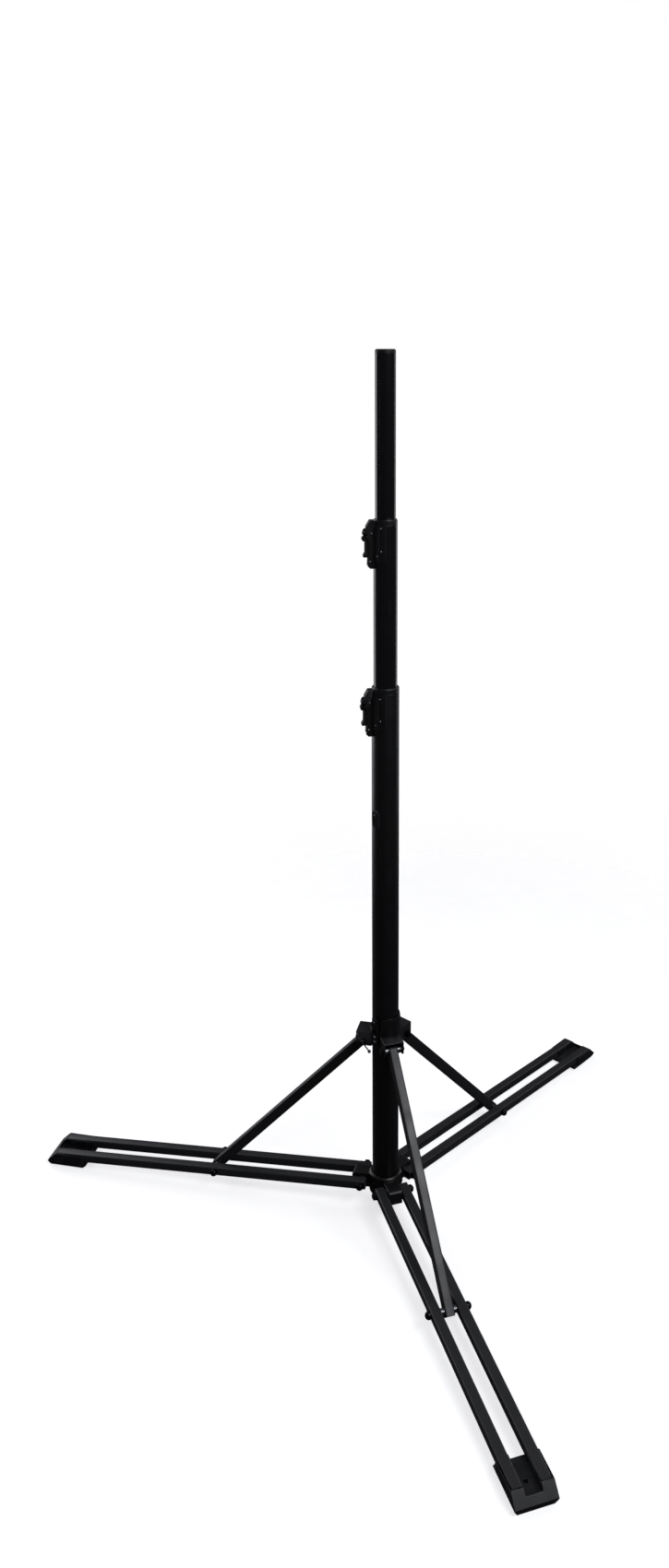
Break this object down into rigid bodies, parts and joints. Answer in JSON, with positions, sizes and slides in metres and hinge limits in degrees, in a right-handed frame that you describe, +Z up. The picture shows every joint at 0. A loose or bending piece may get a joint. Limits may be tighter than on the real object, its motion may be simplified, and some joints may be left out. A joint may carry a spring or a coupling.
{
  "type": "speaker tripod stand",
  "caption": "Folding tripod stand with a telescoping round mast, lever brakes, a sliding collar with struts, twin-rail legs and rubber feet; takes a 35 mm speaker socket.",
  "frame": {"origin": "on the floor under the middle of the bounding box; the mast axis is the line x = 0, y = 0.1518 m", "axes": "+Z up along the mast, -Y along the front leg, so +Y points between the two rear legs"},
  "size_m": [1.1876, 1.0284, 1.57],
  "materials": {
    "mast_paint": "satin black powder coat",
    "pole_paint": "semi-gloss black powder coat",
    "fitting_paint": "fine textured black paint",
    "leg_paint": "satin black powder coat",
    "black_steel": "black oxide on steel",
    "zinc_steel": "bright zinc plate",
    "black_nylon": "moulded nylon",
    "foot_rubber": "moulded rubber"
  },
  "bodies": {
    "mast": {"outer_tube": "mast_paint", "bottom_plug": "black_nylon", "hub": "fitting_paint", "hub_bolts": "black_steel", "hub_nuts": "black_steel", "hub_washers": "zinc_steel", "hub_screws": "black_steel", "lower_bush": "black_nylon", "lower_channel": "fitting_paint", "lower_rivets": "zinc_steel", "lower_pin": "zinc_steel", "fold_catch": "fitting_paint", "catch_rivet": "zinc_steel"},
    "lower_lever": {"lower_lever": "fitting_paint"},
    "lower_shoe": {"lower_shoe": "black_nylon"},
    "mid": {"mid_tube": "mast_paint", "mid_guide": "black_nylon", "upper_bush": "black_nylon", "upper_channel": "fitting_paint", "upper_rivets": "zinc_steel", "upper_pin": "zinc_steel"},
    "upper_lever": {"upper_lever": "fitting_paint"},
    "upper_shoe": {"upper_shoe": "black_nylon"},
    "top": {"top_tube": "pole_paint", "top_guide": "black_nylon", "top_cap": "black_nylon"},
    "collar": {"collar_sleeve": "fitting_paint", "collar_liner": "black_nylon", "latch_leaf": "fitting_paint", "latch_screws": "zinc_steel", "front_bracket": "fitting_paint", "right_bracket": "fitting_paint", "left_bracket": "fitting_paint", "bracket_bolts": "black_steel", "bracket_nuts": "black_steel", "bracket_spacers": "zinc_steel"},
    "lock_rod": {"lock_rod": "zinc_steel"},
    "front_leg": {"front_rail_a": "leg_paint", "front_rail_b": "leg_paint", "front_foot": "foot_rubber", "front_foot_screw": "zinc_steel", "front_leg_bolt": "black_steel"},
    "front_strut": {"front_strut": "leg_paint", "front_strut_bushes": "zinc_steel"},
    "right_leg": {"right_rail_a": "leg_paint", "right_rail_b": "leg_paint", "right_foot": "foot_rubber", "right_foot_screw": "zinc_steel", "right_leg_bolt": "black_steel"},
    "right_strut": {"right_strut": "leg_paint", "right_strut_bushes": "zinc_steel"},
    "left_leg": {"left_rail_a": "leg_paint", "left_rail_b": "leg_paint", "left_foot": "foot_rubber", "left_foot_screw": "zinc_steel", "left_leg_bolt": "black_steel"},
    "left_strut": {"left_strut": "leg_paint", "left_strut_bushes": "zinc_steel"}
  },
  "joints": [
    {"name": "mid_slide", "type": "slide", "parent": "mast", "child": "mid", "axis": [0, 0, 1], "range_m": [-0.2, 0.4]},
    {"name": "top_slide", "type": "slide", "parent": "mid", "child": "top", "axis": [0, 0, 1], "range_m": [-0.22, 0.42]},
    {"name": "lower_lever_turn", "type": "hinge", "parent": "mast", "child": "lower_lever", "pos_m": [-0.03776, 0.1598, 0.9695], "axis": [0.2079, 0.9781, 0], "range_deg": [0, 115]},
    {"name": "lower_shoe_slide", "type": "slide", "parent": "mast", "child": "lower_shoe", "axis": [-0.9781, 0.2079, 0], "range_m": [0, 0.0006]},
    {"name": "upper_lever_turn", "type": "hinge", "parent": "mid", "child": "upper_lever", "pos_m": [-0.03433, 0.15907, 1.2645], "axis": [0.2079, 0.9781, 0], "range_deg": [0, 115]},
    {"name": "upper_shoe_slide", "type": "slide", "parent": "mid", "child": "upper_shoe", "axis": [-0.9781, 0.2079, 0], "range_m": [0, 0.0006]},
    {"name": "collar_slide", "type": "slide", "parent": "mast", "child": "collar", "axis": [0, 0, 1], "range_m": [0, 0.4114]},
    {"name": "front_leg_fold", "type": "hinge", "parent": "mast", "child": "front_leg", "pos_m": [0, 0.10978, 0.047], "axis": [-1, 0, 0], "range_deg": [0, 91.61]},
    {"name": "right_leg_fold", "type": "hinge", "parent": "mast", "child": "right_leg", "pos_m": [0.03637, 0.17278, 0.047], "axis": [0.5, -0.866, 0], "range_deg": [0, 91.61]},
    {"name": "left_leg_fold", "type": "hinge", "parent": "mast", "child": "left_leg", "pos_m": [-0.03637, 0.17278, 0.047], "axis": [0.5, 0.866, 0], "range_deg": [0, 91.61]},
    {"name": "front_strut_swing", "type": "hinge", "parent": "collar", "child": "front_strut", "pos_m": [0, 0.11278, 0.331], "axis": [1, 0, 0], "range_deg": [0, 42.84]},
    {"name": "right_strut_swing", "type": "hinge", "parent": "collar", "child": "right_strut", "pos_m": [0.03377, 0.17128, 0.331], "axis": [-0.5, 0.866, 0], "range_deg": [0, 42.84]},
    {"name": "left_strut_swing", "type": "hinge", "parent": "collar", "child": "left_strut", "pos_m": [-0.03377, 0.17128, 0.331], "axis": [-0.5, -0.866, 0], "range_deg": [0, 42.84]},
    {"name": "lock_rod_turn", "type": "hinge", "parent": "collar", "child": "lock_rod", "pos_m": [-0.053, 0.15397, 0.346], "axis": [0.5, 0.866, 0], "range_deg": [0, 60], "stiffness_Nm_per_rad": 0.02, "springref_deg": -28.65}
  ],
  "couplings": [
    {"joint": "lower_shoe_slide", "follows": "lower_lever_turn", "m_per_rad": 0.00029891},
    {"joint": "upper_shoe_slide", "follows": "upper_lever_turn", "m_per_rad": 0.00029891},
    {"joint": "front_leg_fold", "follows": "collar_slide", "rad_per_m": 3.8861},
    {"joint": "right_leg_fold", "follows": "collar_slide", "rad_per_m": 3.8861},
    {"joint": "left_leg_fold", "follows": "collar_slide", "rad_per_m": 3.8861},
    {"joint": "front_strut_swing", "follows": "collar_slide", "rad_per_m": 1.817},
    {"joint": "right_strut_swing", "follows": "collar_slide", "rad_per_m": 1.817},
    {"joint": "left_strut_swing", "follows": "collar_slide", "rad_per_m": 1.817}
  ]
}
